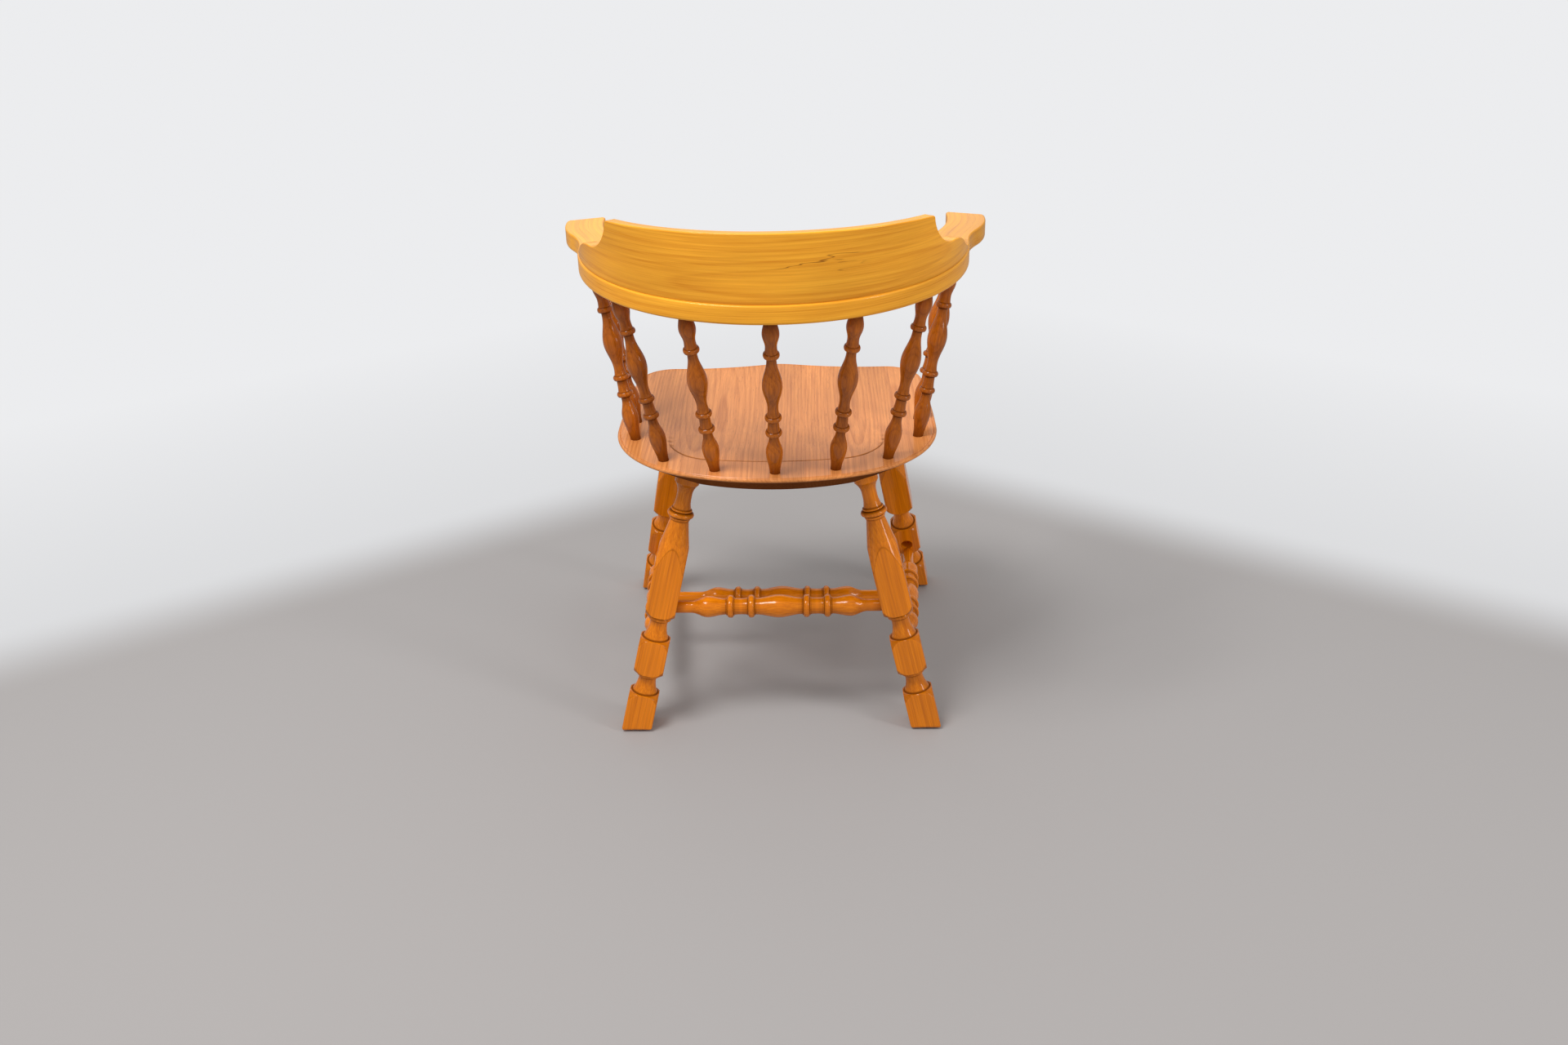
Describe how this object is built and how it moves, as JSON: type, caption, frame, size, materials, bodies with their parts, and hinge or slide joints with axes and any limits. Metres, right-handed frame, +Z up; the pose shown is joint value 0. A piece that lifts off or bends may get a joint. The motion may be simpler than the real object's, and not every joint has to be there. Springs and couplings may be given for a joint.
{
  "type": "captains chair",
  "caption": "Captains chair in lacquered hardwood with a bent arm bow and sweeping crest rail over turned spindles, a dished seat, and turned-and-square splayed legs with stretchers.",
  "frame": {"origin": "centre of the footprint on the floor", "axes": "+Z up, the sitter faces -Y, +X at the sitter's left"},
  "size_m": [0.624, 0.6158, 0.7908],
  "materials": {
    "seat_wood": "satin lacquer",
    "frame_wood": "gloss lacquer",
    "bow_wood": "satin lacquer",
    "glide": "matt"
  },
  "bodies": {
    "root": {"back_spindle_1": "frame_wood", "back_spindle_2": "frame_wood", "back_spindle_3": "frame_wood", "back_spindle_4": "frame_wood", "back_spindle_5": "frame_wood", "back_spindle_6": "frame_wood", "back_spindle_7": "frame_wood", "centre_stretcher": "frame_wood", "crest_rail": "bow_wood", "front_left_glide": "glide", "front_left_leg": "frame_wood", "front_right_glide": "glide", "front_right_leg": "frame_wood", "left_arm": "bow_wood", "left_arm_post": "frame_wood", "left_side_stretcher": "frame_wood", "rear_left_glide": "glide", "rear_left_leg": "frame_wood", "rear_right_glide": "glide", "rear_right_leg": "frame_wood", "rear_stretcher": "frame_wood", "right_arm": "bow_wood", "right_arm_post": "frame_wood", "right_side_stretcher": "frame_wood", "seat_board_1": "seat_wood", "seat_board_2": "seat_wood", "seat_board_3": "seat_wood", "seat_board_4": "seat_wood"}
  },
  "joints": []
}
